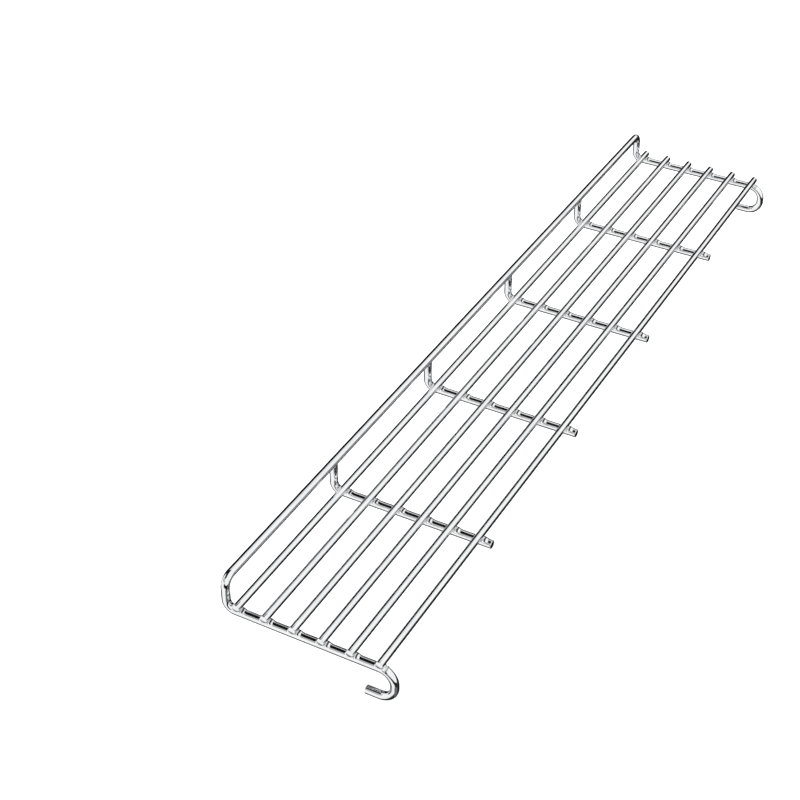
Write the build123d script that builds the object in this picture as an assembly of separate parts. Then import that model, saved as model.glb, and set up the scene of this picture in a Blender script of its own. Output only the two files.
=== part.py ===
from build123d import *
import math
import os

# Grill warming rack: straight deck rods welded across bent cross wires.
# X runs along the rods, the hooks face -Y, the guard rail stands at +Y, Z is up.
# The rack rests on the lowest point of its hooks at Z = 0.

# Deck rods
rod_diameter = 5.0
rod_count = 6
rod_pitch = 19.0
rod_overhang = 3.4
rod_end_chamfer = 0.5

# Cross wires: the two ends of the frame wire and the ribs between them
wire_diameter = 5.6
wire_end_chamfer = 0.4
rib_count = 4
rib_spacing = 127.0
end_bay = 123.5

# Bends of the frame wire and the ribs
bend_radius = 6.5
rail_height = 16.6
rail_setback = 8.5

# Hooks at the two ends of the frame wire
hook_radius = 9.7
hook_straight = 2.0
hook_return = 18.4
hook_lead = 1.6

# Ribs
rib_stub = 8.3

# Welds: how far a rod is set down into a wire, and the rail into the end of a rib
weld_set_down = 0.4
rail_seat = 0.9

rod_radius = rod_diameter / 2
wire_radius = wire_diameter / 2
deck_width = rod_pitch * (rod_count - 1)
first_rib_x = -rib_spacing * (rib_count - 1) / 2
end_x = end_bay - first_rib_x
rod_length = 2 * (end_x + rod_overhang)

# Heights of the centre lines
hook_drop = 2 * hook_radius + hook_straight
hook_z = wire_radius
run_z = hook_z + hook_drop
rod_z = run_z + wire_radius + rod_radius - weld_set_down
rail_z = rod_z + rail_height
riser_top_z = rail_z - wire_radius + rail_seat

# Positions of the centre lines across the deck, with the whole rack centred on Y = 0
hook_reach = hook_radius - hook_lead
deck_y = (hook_reach - rail_setback) / 2
rear_rod_y = deck_y + deck_width / 2
front_rod_y = deck_y - deck_width / 2
rail_y = rear_rod_y + rail_setback
hook_front_y = front_rod_y - hook_reach
hook_tip_y = hook_front_y + hook_return
stub_y = front_rod_y - rib_stub


def bent_wire(corners, radii):
    """Round wire swept along straight runs that are joined by tangent bends."""
    edges = []
    start = corners[0]
    for index, radius in enumerate(radii, start=1):
        corner = corners[index]
        inward = (corners[index - 1] - corner).normalized()
        onward = (corners[index + 1] - corner).normalized()
        half_angle = math.radians(inward.get_angle(onward)) / 2
        set_back = radius / math.tan(half_angle)
        centre = corner + (inward + onward).normalized() * (radius / math.sin(half_angle))
        first = corner + inward * set_back
        last = corner + onward * set_back
        middle = centre + (corner - centre).normalized() * radius
        edges.append(Edge.make_line(start, first))
        edges.append(Edge.make_three_point_arc(first, middle, last))
        start = last
    edges.append(Edge.make_line(start, corners[-1]))
    section = Plane(origin=corners[0], z_dir=corners[1] - corners[0]) * Circle(wire_radius)
    return sweep(section, path=Wire(edges))


def break_end(wire, point, size):
    """Break the sharp rim of the cut end of a wire at a point of its centre line."""
    rims = wire.edges().filter_by(GeomType.CIRCLE)
    rim = rims.sort_by(lambda edge: (edge.arc_center - point).length)[0]
    return chamfer(rim, size)


def x_cylinder(radius, length, y, z):
    """Round bar along X, centred on the middle of the rack."""
    return Pos(0, y, z) * Rot(0, 90, 0) * Cylinder(radius, length)


# Deck rods, numbered from the guard rail to the hooks
rods = []
for index in range(rod_count):
    rod = x_cylinder(rod_radius, rod_length, rear_rod_y - index * rod_pitch, rod_z)
    rod = chamfer(rod.edges().filter_by(GeomType.CIRCLE), rod_end_chamfer)
    rods.append(rod)

# Rib path in its own plane: front stub, run below the rods, riser to the rail
rib_start = Vector(0, stub_y, run_z)
riser_foot = Vector(0, rail_y, run_z)
riser_top = Vector(0, rail_y, riser_top_z)
rib = bent_wire([rib_start, riser_foot, riser_top], [bend_radius])
rib = break_end(rib, rib_start, wire_end_chamfer)
rib = rib - x_cylinder(wire_radius, rod_length, rail_y, rail_z)
for index in range(rod_count):
    rib = rib - x_cylinder(rod_radius, rod_length, rear_rod_y - index * rod_pitch, rod_z)

# Frame wire: hook, run below the rods, riser and rail, then the same again mirrored
hook_path = [
    Vector(0, hook_tip_y, hook_z),
    Vector(0, hook_front_y, hook_z),
    Vector(0, hook_front_y, run_z),
    riser_foot,
    Vector(0, rail_y, rail_z),
]
half_radii = [hook_radius, hook_radius, bend_radius, bend_radius]
left_end = Vector(-end_x, 0, 0)
right_end = Vector(end_x, 0, 0)
frame_corners = [left_end + point for point in hook_path]
frame_corners += [right_end + point for point in reversed(hook_path)]
frame_wire = bent_wire(frame_corners, half_radii + half_radii[::-1])
frame_wire = break_end(frame_wire, frame_corners[0], wire_end_chamfer)
frame_wire = break_end(frame_wire, frame_corners[-1], wire_end_chamfer)
for rod in rods:
    frame_wire = frame_wire - rod

os.makedirs("parts", exist_ok=True)
export_step(frame_wire, "parts/frame_wire.step")
for index in range(rib_count):
    rib_x = first_rib_x + rib_spacing * index
    export_step(Pos(rib_x, 0, 0) * rib, f"parts/support_rib_{index + 1}.step")
for index, rod in enumerate(rods, start=1):
    export_step(rod, f"parts/deck_rod_{index}.step")
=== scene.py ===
import math
import bpy
import numpy as np
from mathutils import Matrix, Vector


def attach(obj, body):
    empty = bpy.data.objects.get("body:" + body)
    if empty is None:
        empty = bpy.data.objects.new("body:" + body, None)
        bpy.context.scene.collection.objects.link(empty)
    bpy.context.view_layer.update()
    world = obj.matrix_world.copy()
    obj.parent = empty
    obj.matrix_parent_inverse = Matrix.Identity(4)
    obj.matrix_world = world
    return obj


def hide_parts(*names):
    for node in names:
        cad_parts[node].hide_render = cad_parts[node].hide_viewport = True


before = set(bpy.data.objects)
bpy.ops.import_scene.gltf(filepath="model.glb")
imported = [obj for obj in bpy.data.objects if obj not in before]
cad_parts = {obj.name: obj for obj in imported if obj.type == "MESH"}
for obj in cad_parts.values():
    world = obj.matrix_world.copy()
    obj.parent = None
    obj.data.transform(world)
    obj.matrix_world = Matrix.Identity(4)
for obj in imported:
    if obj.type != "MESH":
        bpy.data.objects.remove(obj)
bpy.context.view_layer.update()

MM = 0.001

# Sizes of the rack in millimetres, as in the part's source.
# X runs along the rods, the hooks face -Y, the guard rail stands at +Y, Z is up.
rod_radius = 2.5
rod_count = 6
rod_pitch = 19.0
rod_overhang = 3.4
wire_radius = 2.8
rib_count = 4
rib_spacing = 127.0
end_bay = 123.5
bend_radius = 6.5
rail_height = 16.6
rail_setback = 8.5
hook_radius = 9.7
hook_straight = 2.0
hook_return = 18.4
hook_lead = 1.6
rib_stub = 8.3
weld_set_down = 0.4

# Heights and places of the centre lines
deck_width = rod_pitch * (rod_count - 1)
first_rib_x = -rib_spacing * (rib_count - 1) / 2
end_x = end_bay - first_rib_x
rod_end_x = end_x + rod_overhang
hook_drop = 2 * hook_radius + hook_straight
hook_z = wire_radius
run_z = hook_z + hook_drop
rod_z = run_z + wire_radius + rod_radius - weld_set_down
rail_z = rod_z + rail_height
hook_reach = hook_radius - hook_lead
deck_y = (hook_reach - rail_setback) / 2
rear_rod_y = deck_y + deck_width / 2
front_rod_y = deck_y - deck_width / 2
rail_y = rear_rod_y + rail_setback
hook_front_y = front_rod_y - hook_reach
hook_tip_y = hook_front_y + hook_return
stub_y = front_rod_y - rib_stub
rod_ys = [rear_rod_y - i * rod_pitch for i in range(rod_count)]
rib_xs = [first_rib_x + i * rib_spacing for i in range(rib_count)]

# Bends of the cross wires beside the rear and the front rod: distance from the rod's middle
# to where the bend begins, radius, and 1 for up or -1 for down
riser_bend = (rail_setback - bend_radius, bend_radius, 1)
hook_bend = (-hook_lead, hook_radius, -1)

# Mesh steps: points round a wire, length of a straight step, degrees of a step in a bend
AROUND = 72
RUN_STEP = 12.0
TURN_STEP = 3.0
MIN_TURNS = 4
END_STEPS = 6
DOME_SHARES = (0.75, 0.5, 0.25)
START_SIDE = (0.31, 0.2, 0.93)

# Cut ends: radius of the rounded rim at the first and the last end, and height of the dome there
ROD_ROUNDS, ROD_DOMES = (0.45, 0.45), (0.06, 0.06)
RIB_ROUNDS, RIB_DOMES = (0.5, 0.5), (0.1, 0.0)
FRAME_ROUNDS, FRAME_DOMES = (0.45, 0.45), (0.1, 0.1)

# Collar of weld metal between a rod and a cross wire
COLLAR_REACH = 2.7
COLLAR_SPREAD = 0.2
COLLAR_WAVES = (0.18, 0.12)
COLLAR_LIMIT = 0.86
COLLAR_RIM_LIMIT = 0.97
COLLAR_LIP = 0.12
COLLAR_LAP = 0.02
COLLAR_AROUND = 64
COLLAR_STEPS = 11
COLLAR_HANDLE = 0.5
# How far the collar's rim rolls outwards, and down as a share of its lip
COLLAR_RIM = ((0.10, 0.15), (0.16, 0.5), (0.18, 1.1))
CORE_DEPTH = 0.2

# Flash beside a rod: distances from the rod's middle to the end of its lip, the foot of its
# steep edge and the end of its skirt, and the height of the lip
FRONT_FLASH = (3.1, 4.3, 7.2, 0.78)
HOOK_FLASH = (2.2, 3.2, 5.4, 0.42)
REAR_FLASH = (2.5, 3.1, 4.6, 0.78)
FLASH_START = 1.9
FLASH_SPREAD = 0.15
END_SHIFT = -0.45
# Round the wire, in degrees: half its width, and how far from its sides it has its full height
FLASH_TILT = 68.0
FLASH_RISE = 36.0
FLASH_ROWS = 25
FLASH_STEPS = (3, 7, 10)
FLASH_SWAY = 0.12
EDGE_DROP = 0.45
SKIRT_HEIGHT = 0.57
SKIRT_SINK = 0.02
SIDE_SINK = 0.05
FLOOR_SINK = 0.5
# Painted shade on the flash's steep edge: darkening of the base colour for each millimetre of height, and
# where it fades in degrees from the top
PAINTED_SHADE = 1.24
PAINTED_SHADE_END = 56.0
PAINTED_SHADE_FADE = 16.0
PAINTED_SHADE_POWER = 0.35

# Fillet where a riser meets the rail
FILLET_SIZE = 1.1
FILLET_SHARES = (0.12, 0.88)
FILLET_HANDLE = 0.7
FILLET_AROUND = 56
FILLET_STEPS = 9
FILLET_SINK = 0.01
FILLET_CORE = 0.5

# Weld bands close inside the wires, this share of the way to their core
BURIED_SHARE = 0.55
TINY = 1e-6
PROBE = 1e-3

rng = np.random.default_rng(7)


def unit(vector):
    return vector / np.linalg.norm(vector)


def smooth(t):
    """Smooth step from 0 to 1."""
    return t * t * (3 - 2 * t)


def cubic(p0, p1, p2, p3, count):
    """Points along a Bezier curve."""
    points = []
    for t in np.linspace(0, 1, count):
        points.append((1 - t) ** 3 * p0 + 3 * (1 - t) ** 2 * t * p1 + 3 * (1 - t) * t * t * p2 + t ** 3 * p3)
    return points


def bent_path(corners, radii):
    """Points along straight runs joined by tangent bends."""
    corners = [np.array(corner, float) for corner in corners]
    points = [corners[0]]

    def run_to(end):
        start = points[-1]
        pieces = max(1, int(np.linalg.norm(end - start) / RUN_STEP))
        for i in range(1, pieces + 1):
            points.append(start + (end - start) * i / pieces)

    for index, radius in enumerate(radii, start=1):
        corner = corners[index]
        back = unit(corners[index - 1] - corner)
        ahead = unit(corners[index + 1] - corner)
        half = math.acos(np.clip(back @ ahead, -1, 1)) / 2
        centre = corner + unit(back + ahead) * radius / math.sin(half)
        first = corner + back * radius / math.tan(half)
        run_to(first)
        spoke = (first - centre) / radius
        sweep = math.pi - 2 * half
        count = max(MIN_TURNS, int(math.degrees(sweep) / TURN_STEP))
        for i in range(1, count + 1):
            a = sweep * i / count
            points.append(centre + radius * (spoke * math.cos(a) - back * math.sin(a)))
    run_to(corners[-1])
    return np.array(points)


class PieceMesh:
    """Vertices and faces of one piece, in millimetres."""

    def __init__(self):
        self.verts = []
        self.faces = []
        # Painted shade factors of vertices, which darken the chrome's base colour
        self.painted_shades = {}

    def tube(self, path, radius, rounds, domes):
        """Round wire along a path, with rounded and slightly domed cut ends."""
        tangents = np.gradient(path, axis=0)
        tangents /= np.linalg.norm(tangents, axis=1)[:, None]
        normal = unit(np.cross(tangents[0], START_SIDE))
        frames = []
        for point, tangent in zip(path, tangents):
            normal = unit(normal - tangent * (normal @ tangent))
            frames.append((point, tangent, normal, np.cross(tangent, normal)))

        def end_rings(size, dome, point, tangent, normal, side, sign):
            """Rings from the full radius over the rounded rim to the middle of a cut end."""
            rings = []
            for i in range(END_STEPS + 1):
                a = math.pi / 2 * i / END_STEPS
                middle = point + sign * tangent * (-size + size * math.sin(a))
                rings.append((middle, radius - size + size * math.cos(a), normal, side))
            for share in DOME_SHARES:
                middle = point + sign * tangent * (dome * (1 - share * share))
                rings.append((middle, (radius - size) * share, normal, side))
            return rings

        head = end_rings(rounds[0], domes[0], *frames[0], -1)
        body = [(point, radius, normal, side) for point, tangent, normal, side in frames[1:-1]]
        tail = end_rings(rounds[1], domes[1], *frames[-1], 1)
        rings = head[::-1] + body + tail
        base = len(self.verts)
        angles = np.linspace(0, 2 * math.pi, AROUND, endpoint=False)
        for middle, size, normal, side in rings:
            for a in angles:
                self.verts.append(middle + size * (normal * math.cos(a) + side * math.sin(a)))
        first_tip, last_tip = len(self.verts), len(self.verts) + 1
        self.verts.append(frames[0][0] - frames[0][1] * domes[0])
        self.verts.append(frames[-1][0] + frames[-1][1] * domes[1])
        last = base + (len(rings) - 1) * AROUND
        for low in range(base, last, AROUND):
            high = low + AROUND
            for i in range(AROUND):
                j = (i + 1) % AROUND
                self.faces.append((low + i, low + j, high + j, high + i))
        for i in range(AROUND):
            j = (i + 1) % AROUND
            self.faces.append((first_tip, base + j, base + i))
            self.faces.append((last_tip, last + i, last + j))

    def band(self, curves, core):
        """Closed band of curves, each from top to bottom, running anticlockwise seen from above.

        The band is closed inside the wires, towards a core point. The ends of each curve are
        doubled there, so that the hidden side doesn't bend the shading of the visible one.
        """
        base = len(self.verts)
        seen = len(curves[0])
        for curve in curves:
            first, last = curve[0], curve[-1]
            hidden = [point + BURIED_SHARE * (core - point) for point in (last, first)]
            self.verts.extend(curve)
            self.verts.extend([last, *hidden, first])
        count = seen + 4
        for i in range(len(curves)):
            a, b = base + i * count, base + (i + 1) % len(curves) * count
            for j in range(count - 1):
                if j != seen - 1:
                    self.faces.append((a + j, a + j + 1, b + j + 1, b + j))

    def weld(self, x, y, front_bend=None, rear_bend=None):
        """Concave collar of weld metal where a rod lies on a cross wire, and the flash beside it."""
        reach = COLLAR_REACH + COLLAR_SPREAD * rng.uniform(-1, 1)
        waves = rng.uniform(0, 2 * math.pi, 2)
        curves = []
        for phi in np.linspace(0, 2 * math.pi, COLLAR_AROUND, endpoint=False):
            c, s = math.cos(phi), math.sin(phi)

            def upper(rho):
                """Height of the rod's underside."""
                return rod_z - math.sqrt(rod_radius ** 2 - (rho * s) ** 2)

            def lower(rho):
                """Height of the cross wire's top."""
                return run_z + math.sqrt(wire_radius ** 2 - (rho * c) ** 2)

            far = reach
            far += COLLAR_WAVES[0] * math.sin(2 * phi + waves[0])
            far += COLLAR_WAVES[1] * math.sin(3 * phi + waves[1])
            up = min(far, COLLAR_LIMIT * rod_radius / max(abs(s), TINY))
            low = min(far, COLLAR_LIMIT * wire_radius / max(abs(c), TINY))
            top = np.array([up, upper(up) + COLLAR_LAP])
            foot = np.array([low, lower(low) + COLLAR_LIP])
            top_slope = unit(np.array([-PROBE, upper(up - PROBE) - upper(up)]))
            foot_slope = unit(np.array([-PROBE, lower(low - PROBE) - lower(low)]))
            handle = COLLAR_HANDLE * np.linalg.norm(foot - top)
            top_handle, foot_handle = top + top_slope * handle, foot + foot_slope * handle
            curve = []
            for rho, z in cubic(top, top_handle, foot_handle, foot, COLLAR_STEPS):
                curve.append(np.array([x + rho * c, y + rho * s, z]))
            for out, drop in COLLAR_RIM:
                rho = min(low + out, COLLAR_RIM_LIMIT * wire_radius / max(abs(c), TINY))
                curve.append(np.array([x + rho * c, y + rho * s, lower(rho) + COLLAR_LIP * (1 - drop)]))
            curves.append(curve)
        self.band(curves, np.array([x, y, run_z + wire_radius - CORE_DEPTH]))

        shift = FLASH_SPREAD * rng.uniform(-1, 1)
        end_shift = END_SHIFT if abs(x) == end_x else 0.0
        if front_bend:
            self.flash(x, y, -1, *HOOK_FLASH, front_bend)
        else:
            lip, foot, skirt, height = FRONT_FLASH
            lip, foot = lip + end_shift + shift, foot + end_shift + shift
            self.flash(x, y, -1, lip, foot, skirt + 2 * end_shift, height, None)
        self.flash(x, y, 1, *REAR_FLASH, rear_bend)

    def flash(self, x, y, side, lip, foot, skirt, height, bend):
        """Metal squeezed out along the cross wire beside a rod: low lip, steep edge darkened with painted
        shade, thin skirt.
        """
        tilts = np.linspace(-FLASH_TILT, FLASH_TILT, FLASH_ROWS)
        spans = np.concatenate([
            np.linspace(FLASH_START, lip, FLASH_STEPS[0]),
            np.linspace(lip, foot, FLASH_STEPS[1])[1:],
            np.linspace(foot, skirt, FLASH_STEPS[2])[1:],
        ])
        wave = rng.uniform(0, 2 * math.pi)

        def on_wire(tilt, span, out):
            """Point at a tilt round the wire, a distance along it and a distance from its centre line."""
            mid_y, mid_z, lean = y + side * span, run_z, 0.0
            if bend:
                begin, radius, way = bend
                turn = max(0.0, span - begin) / radius
                mid_y = y + side * (min(span, begin) + radius * math.sin(turn))
                mid_z = run_z + way * radius * (1 - math.cos(turn))
                lean = -way * side * turn
            a = math.radians(tilt)
            stand = out * math.cos(a)
            return np.array([
                x + out * math.sin(a), mid_y + stand * math.sin(lean), mid_z + stand * math.cos(lean)])

        base = len(self.verts)
        under = []
        for tilt in tilts:
            rise_share = smooth(min(1.0, (FLASH_TILT - abs(tilt)) / FLASH_RISE))
            # Painted shade: the steep edge's base colour is darkened, fading out towards the wire's sides
            painted_shade_depth = PAINTED_SHADE * height * min(1.0, max(0.0, (PAINTED_SHADE_END - abs(tilt)) / PAINTED_SHADE_FADE))
            sway = FLASH_SWAY * math.sin(math.radians(3 * tilt) + wave)
            for span in spans:
                shade = 1.0
                rise = height
                if span > foot:
                    t = (span - foot) / (skirt - foot)
                    rise = SKIRT_HEIGHT * height * (1 - t) ** 2 - SKIRT_SINK
                elif span > lip:
                    t = (span - lip) / (foot - lip)
                    rise = height * (1 - EDGE_DROP * smooth(t))
                    shade = 1 - painted_shade_depth * math.sin(math.pi * t) ** PAINTED_SHADE_POWER
                # Painted shade factor of each top vertex, later multiplied into the chrome's base colour
                self.painted_shades[len(self.verts)] = shade
                out = wire_radius + rise * rise_share - SIDE_SINK * (1 - rise_share)
                self.verts.append(on_wire(tilt, span + sway, out))
            for span in (spans[0], spans[-1]):
                under.append(on_wire(tilt, span + sway, wire_radius - FLOOR_SINK))
        low = len(self.verts)
        self.verts.extend(under)

        # Top, underside and the walls between them
        count, end = len(spans), len(spans) - 1
        faces = []
        for i in range(FLASH_ROWS - 1):
            a, b = base + i * count, base + (i + 1) * count
            c, d = low + 2 * i, low + 2 * (i + 1)
            for j in range(end):
                faces.append((a + j, b + j, b + j + 1, a + j + 1))
            faces.append((c, c + 1, d + 1, d))
            faces.append((b, a, c, d))
            faces.append((a + end, b + end, d + 1, c + 1))
        a, c = base + (FLASH_ROWS - 1) * count, low + 2 * (FLASH_ROWS - 1)
        faces.append((*range(base, base + count), low + 1, low))
        faces.append((*range(a + end, a - 1, -1), c, c + 1))
        self.faces.extend(face if side > 0 else face[::-1] for face in faces)

    def rail_weld(self, x):
        """Fillet of weld metal where a riser butts against the underside of the rail."""
        axis = np.array([0.0, 0.0, 1.0])
        along = np.array([1.0, 0.0, 0.0])
        across = np.cross(axis, along)
        centre = np.array([x, rail_y, rail_z])
        curves = []
        for phi in np.linspace(0, 2 * math.pi, FILLET_AROUND, endpoint=False):
            c, s = math.cos(phi), math.sin(phi)
            corner = centre + wire_radius * (c * along + s * across) - wire_radius * abs(c) * axis
            way = c * along + s * c * c * across + s * s * abs(c) * axis
            norm = np.linalg.norm(way)
            way = way / norm if norm > TINY else axis
            size = FILLET_SIZE * (FILLET_SHARES[0] + FILLET_SHARES[1] * abs(c))
            foot = corner - axis * size
            off = corner + way * size - centre
            flat = unit(off - along * (off @ along))
            top = centre + along * (off @ along) + flat * (wire_radius - FILLET_SINK)
            reach = size * FILLET_HANDLE
            curve = cubic(foot, foot + axis * reach, top - way * reach, top, FILLET_STEPS)
            curves.append(curve[::-1])
        self.band(curves, centre - axis * (wire_radius - FILLET_CORE))

    def make(self, name, node, material):
        mesh = bpy.data.meshes.new(name)
        mesh.from_pydata([tuple(np.asarray(v) * MM) for v in self.verts], [], self.faces)
        mesh.update()
        mesh.shade_smooth()
        # Painted shade: per-vertex factor that darkens the chrome's base colour on the weld flash's steep
        # edges
        painted_shade_factor = np.ones(len(self.verts))
        for index, value in self.painted_shades.items():
            painted_shade_factor[index] = value
        mesh.attributes.new("painted_shade_factor", "FLOAT", "POINT").data.foreach_set("value", painted_shade_factor)
        mesh.materials.append(material)
        piece = bpy.data.objects.new(name, mesh)
        bpy.context.scene.collection.objects.link(piece)
        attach(piece, "root")
        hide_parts(node)


def chrome_material():
    """Polished chrome plate: faint ripples and uneven polish, its base colour darkened by the mesh's painted
    shade factor.
    """
    material = bpy.data.materials.new("chrome_plate")
    material.use_nodes = True
    nodes, links = material.node_tree.nodes, material.node_tree.links
    shader = nodes["Principled BSDF"]
    shader.inputs["Metallic"].default_value = 1.0
    coordinates = nodes.new("ShaderNodeTexCoord")

    tone = nodes.new("ShaderNodeTexNoise")
    tone.inputs["Scale"].default_value = 45.0
    tone.inputs["Detail"].default_value = 4.0
    links.new(coordinates.outputs["Object"], tone.inputs["Vector"])
    tint = nodes.new("ShaderNodeValToRGB")
    tint.color_ramp.elements[0].position = 0.3
    tint.color_ramp.elements[0].color = (0.80, 0.81, 0.825, 1)
    tint.color_ramp.elements[1].position = 0.7
    tint.color_ramp.elements[1].color = (0.88, 0.885, 0.89, 1)
    links.new(tone.outputs["Fac"], tint.inputs["Fac"])
    # Painted shade: the mesh's factor scales the base colour down on the flash's steep edges
    painted_shade_factor = nodes.new("ShaderNodeAttribute")
    painted_shade_factor.attribute_name = "painted_shade_factor"
    painted_shade_colour = nodes.new("ShaderNodeVectorMath")
    painted_shade_colour.operation = "SCALE"
    links.new(tint.outputs["Color"], painted_shade_colour.inputs[0])
    links.new(painted_shade_factor.outputs["Fac"], painted_shade_colour.inputs["Scale"])
    links.new(painted_shade_colour.outputs["Vector"], shader.inputs["Base Color"])

    polish = nodes.new("ShaderNodeMapRange")
    polish.inputs["From Min"].default_value = 0.3
    polish.inputs["From Max"].default_value = 0.7
    polish.inputs["To Min"].default_value = 0.02
    polish.inputs["To Max"].default_value = 0.05
    links.new(tone.outputs["Fac"], polish.inputs["Value"])
    links.new(polish.outputs["Result"], shader.inputs["Roughness"])

    ripple = nodes.new("ShaderNodeTexNoise")
    ripple.inputs["Scale"].default_value = 260.0
    ripple.inputs["Detail"].default_value = 3.0
    links.new(coordinates.outputs["Object"], ripple.inputs["Vector"])
    bump = nodes.new("ShaderNodeBump")
    bump.inputs["Strength"].default_value = 0.05
    bump.inputs["Distance"].default_value = 0.0002
    links.new(ripple.outputs["Fac"], bump.inputs["Height"])
    links.new(bump.outputs["Normal"], shader.inputs["Normal"])
    return material


def matt_material(name, dark, light, scale, glowing=False):
    """Matt grey for the stage, faintly uneven between two brightnesses."""
    material = bpy.data.materials.new(name)
    material.use_nodes = True
    nodes, links = material.node_tree.nodes, material.node_tree.links
    shader = nodes["Principled BSDF"]
    shader.inputs["Roughness"].default_value = 0.9
    shader.inputs["Specular IOR Level"].default_value = 0.0
    noise = nodes.new("ShaderNodeTexNoise")
    noise.inputs["Scale"].default_value = scale
    ramp = nodes.new("ShaderNodeValToRGB")
    ramp.color_ramp.elements[0].color = (dark, dark, dark, 1)
    ramp.color_ramp.elements[1].color = (light, light, light, 1)
    links.new(noise.outputs["Fac"], ramp.inputs["Fac"])
    if glowing:
        shader.inputs["Base Color"].default_value = (0.0, 0.0, 0.0, 1)
        shader.inputs["Emission Strength"].default_value = 1.0
        links.new(ramp.outputs["Color"], shader.inputs["Emission Color"])
        material.cycles.emission_sampling = "NONE"
    else:
        links.new(ramp.outputs["Color"], shader.inputs["Base Color"])
    return material


def studio_world():
    """White tent with grey and dark regions, which the chrome mirrors as its lines."""
    world = bpy.data.worlds.new("studio")
    world.use_nodes = True
    nodes, links = world.node_tree.nodes, world.node_tree.links
    coordinates = nodes.new("ShaderNodeTexCoord")
    split = nodes.new("ShaderNodeSeparateXYZ")
    links.new(coordinates.outputs["Generated"], split.inputs["Vector"])

    def along(direction):
        """How far the mirrored direction goes along another direction."""
        node = nodes.new("ShaderNodeVectorMath")
        node.operation = "DOT_PRODUCT"
        links.new(coordinates.outputs["Generated"], node.inputs[0])
        node.inputs[1].default_value = direction
        return node.outputs["Value"]

    def between(axis, low, high, start, end):
        """Smooth step of one component of the direction, or of another value made from it."""
        node = nodes.new("ShaderNodeMapRange")
        node.interpolation_type = "SMOOTHSTEP"
        node.inputs["From Min"].default_value = low
        node.inputs["From Max"].default_value = high
        node.inputs["To Min"].default_value = start
        node.inputs["To Max"].default_value = end
        links.new(split.outputs[axis] if isinstance(axis, str) else axis, node.inputs["Value"])
        return node.outputs["Result"]

    def above(axis, low, high):
        return between(axis, low, high, 0.0, 1.0)

    def below(axis, low, high):
        return between(axis, low, high, 1.0, 0.0)

    def lay(under, brightness, *masks):
        """Lays a brightness over another where all the masks hold."""
        mask = masks[0]
        for other in masks[1:]:
            product = nodes.new("ShaderNodeMath")
            product.operation = "MULTIPLY"
            links.new(mask, product.inputs[0])
            links.new(other, product.inputs[1])
            mask = product.outputs[0]
        node = nodes.new("ShaderNodeMix")
        node.data_type = "FLOAT"
        links.new(mask, node.inputs["Factor"])
        if isinstance(under, float):
            node.inputs["A"].default_value = under
        else:
            links.new(under, node.inputs["A"])
        node.inputs["B"].default_value = brightness
        return node.outputs["Result"]

    white = 1.06
    back_low = along((0.27, 1.0, -1.0))
    right_low = along((-0.6, 0.0, 1.0))
    front_tilt = along((0.0, -0.5, 1.0))
    ahead = along((0.71, 0.42, -0.565))
    # Grey panel high at the back left, and a dark strip along its foot
    glow = lay(white, 0.58, below("X", -0.45, -0.35), above("Y", 0.05, 0.15),
               above("Z", 0.32, 0.38), below("Z", 0.80, 0.86))
    glow = lay(glow, 0.10, below("X", -0.5, -0.4), above("Y", 0.05, 0.15),
               above("Z", 0.31, 0.36), below("Z", 0.41, 0.46))
    # Pale grey strip high on the right
    glow = lay(glow, 0.70, above("X", 0.3, 0.4), above("Y", 0.0, 0.1), below("Y", 0.2, 0.27),
               above("Z", 0.3, 0.4))
    # Dark right side, in front and low at the back: the two lines along each rod
    glow = lay(glow, 0.05, above("X", -0.15, 0.0), below("Y", -0.05, 0.05), below(right_low, -0.34, -0.25))
    glow = lay(glow, 0.012, above("X", -0.05, 0.05), above(back_low, -0.18, -0.08))
    # Dark ground straight below, grey ground in front and dark ground behind
    glow = lay(glow, 0.03, above("X", -0.62, -0.52), below("Z", -0.76, -0.68))
    glow = lay(glow, 0.16, above("X", -0.72, -0.62), below("X", -0.05, 0.1), below("Y", -0.3, -0.18),
               below("Z", -0.42, -0.3))
    glow = lay(glow, 0.03, above("X", -0.42, -0.32), above("Y", 0.0, 0.1), below("Z", -0.42, -0.3))
    # Dark band round the horizon at the front left
    glow = lay(glow, 0.012, below("X", -0.05, 0.05), below("Y", 0.07, 0.15),
               above(front_tilt, -0.28, -0.2), below(front_tilt, 0.22, 0.3))
    # Bright patch beyond the rack: the photo's view mirrors it only at a grazing angle
    glow = lay(glow, 0.85, above(ahead, 0.90, 0.95))
    background = nodes["Background"]
    background.inputs["Color"].default_value = (1, 1, 1, 1)
    links.new(glow, background.inputs["Strength"])
    return world


chrome = chrome_material()

# Deck rods, numbered from the guard rail to the hooks
for index, y in enumerate(rod_ys, start=1):
    rod = PieceMesh()
    rod_ends = [(-rod_end_x, y, rod_z), (rod_end_x, y, rod_z)]
    rod.tube(bent_path(rod_ends, []), rod_radius, ROD_ROUNDS, ROD_DOMES)
    rod.make(f"deck_rod_{index}_wire", f"deck_rod_{index}", chrome)

# Support ribs: front stub, run below the rods, riser to the rail
for index, x in enumerate(rib_xs, start=1):
    rib = PieceMesh()
    rib_corners = [(x, stub_y, run_z), (x, rail_y, run_z), (x, rail_y, rail_z)]
    rib.tube(bent_path(rib_corners, [bend_radius]), wire_radius, RIB_ROUNDS, RIB_DOMES)
    for y in rod_ys:
        rib.weld(x, y, None, riser_bend if y == rod_ys[0] else None)
    rib.rail_weld(x)
    rib.make(f"support_rib_{index}_wire", f"support_rib_{index}", chrome)

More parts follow.
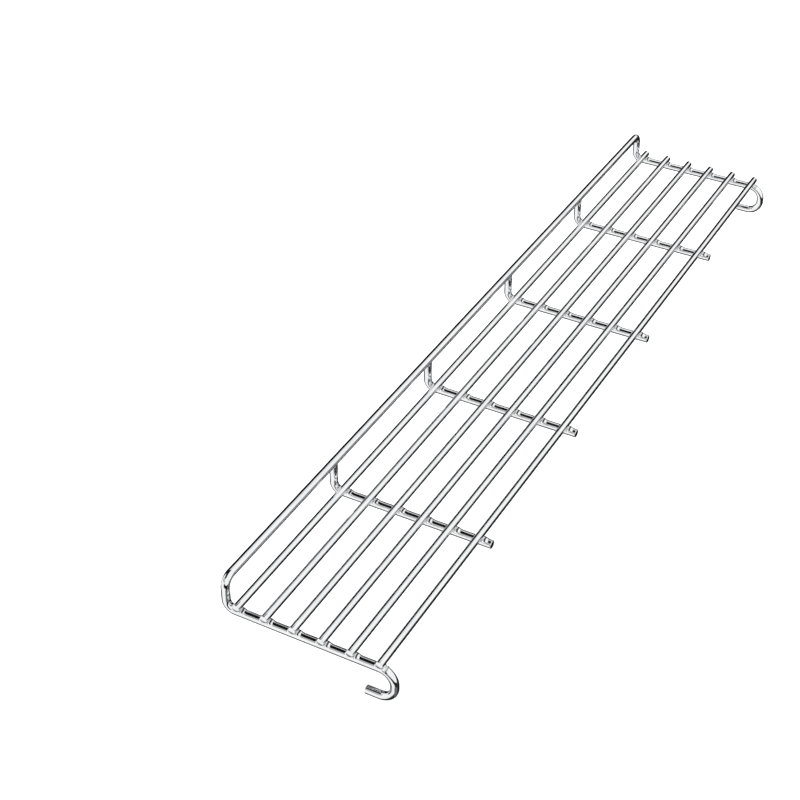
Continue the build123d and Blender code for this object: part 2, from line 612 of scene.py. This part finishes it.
# Frame wire: hook, run, riser and rail, then the same again mirrored
frame_wire = PieceMesh()
end_path = [
    (hook_tip_y, hook_z), (hook_front_y, hook_z), (hook_front_y, run_z), (rail_y, run_z), (rail_y, rail_z)]
end_radii = [hook_radius, hook_radius, bend_radius, bend_radius]
frame_corners = [(-end_x, y, z) for y, z in end_path] + [(end_x, y, z) for y, z in reversed(end_path)]
frame_path = bent_path(frame_corners, end_radii + end_radii[::-1])
frame_wire.tube(frame_path, wire_radius, FRAME_ROUNDS, FRAME_DOMES)
for x in (-end_x, end_x):
    for y in rod_ys:
        front_bend = hook_bend if y == rod_ys[-1] else None
        rear_bend = riser_bend if y == rod_ys[0] else None
        frame_wire.weld(x, y, front_bend, rear_bend)
frame_wire.make("frame_wire_bent", "frame_wire", chrome)

# Floor, not mirrored in the chrome
bpy.ops.mesh.primitive_circle_add(vertices=128, radius=2.4, fill_type="NGON", location=(0, 0, -0.12))
floor = bpy.context.object
floor.name = "floor"
floor.data.materials.append(matt_material("floor_white", 0.86, 0.88, 3.0))
floor.visible_glossy = False

bpy.context.scene.world = studio_world()

# Black card above the rack, seen only as a reflection
bpy.ops.mesh.primitive_plane_add(size=1.0, location=(-0.41, 0.45, 0.93))
card = bpy.context.object
card.name = "black_card"
card.scale = (1.30, 0.9, 1.0)
card.data.materials.append(matt_material("card_black", 0.004, 0.007, 5.0))
card.visible_camera = False
card.visible_diffuse = False
card.visible_shadow = False
card.visible_transmission = False

# Pale backdrop all round, seen only directly
bpy.ops.mesh.primitive_uv_sphere_add(segments=64, ring_count=32, radius=30.0, location=(0, 0, 0))
backdrop = bpy.context.object
backdrop.name = "backdrop"
backdrop.data.materials.append(matt_material("backdrop_white", 0.99, 1.02, 5.0, glowing=True))
backdrop.visible_glossy = False
backdrop.visible_diffuse = False
backdrop.visible_shadow = False
backdrop.visible_transmission = False

# Soft light from above
lamp = bpy.data.lights.new("softbox", "AREA")
lamp.shape = "DISK"
lamp.size = 3.0
lamp.energy = 108.0
softbox = bpy.data.objects.new("softbox", lamp)
softbox.location = (0, 0, 2.6)
softbox.visible_glossy = False
bpy.context.scene.collection.objects.link(softbox)

# Camera at the photo's viewing angle: degrees, millimetres from the near end of the front rod, and pixels
azimuth, elevation, roll = math.radians(-61.437), math.radians(36.328), math.radians(0.10268)
from_rod_end = (-576.06, -324.76, 667.51)
focal_pixels = 1665.6
photo_pixels = 800
sensor_width = 36.0

back = Vector((
    math.sin(azimuth) * math.cos(elevation), -math.cos(azimuth) * math.cos(elevation), math.sin(elevation)))
level = (-back).cross(Vector((0, 0, 1))).normalized()
upright = level.cross(-back)
right = math.cos(roll) * level + math.sin(roll) * upright
up = -math.sin(roll) * level + math.cos(roll) * upright
eye = Vector((from_rod_end[0] - end_x, from_rod_end[1] + front_rod_y, from_rod_end[2] + rod_z)) * MM
lens = bpy.data.cameras.new("camera")
lens.sensor_width = sensor_width
lens.lens = focal_pixels / photo_pixels * sensor_width
lens.clip_start = 0.01
camera = bpy.data.objects.new("camera", lens)
camera.matrix_world = Matrix((
    (right.x, up.x, back.x, eye.x),
    (right.y, up.y, back.y, eye.y),
    (right.z, up.z, back.z, eye.z),
    (0, 0, 0, 1)))
bpy.context.scene.collection.objects.link(camera)
bpy.context.scene.camera = camera
bpy.context.scene.view_settings.view_transform = "Standard"
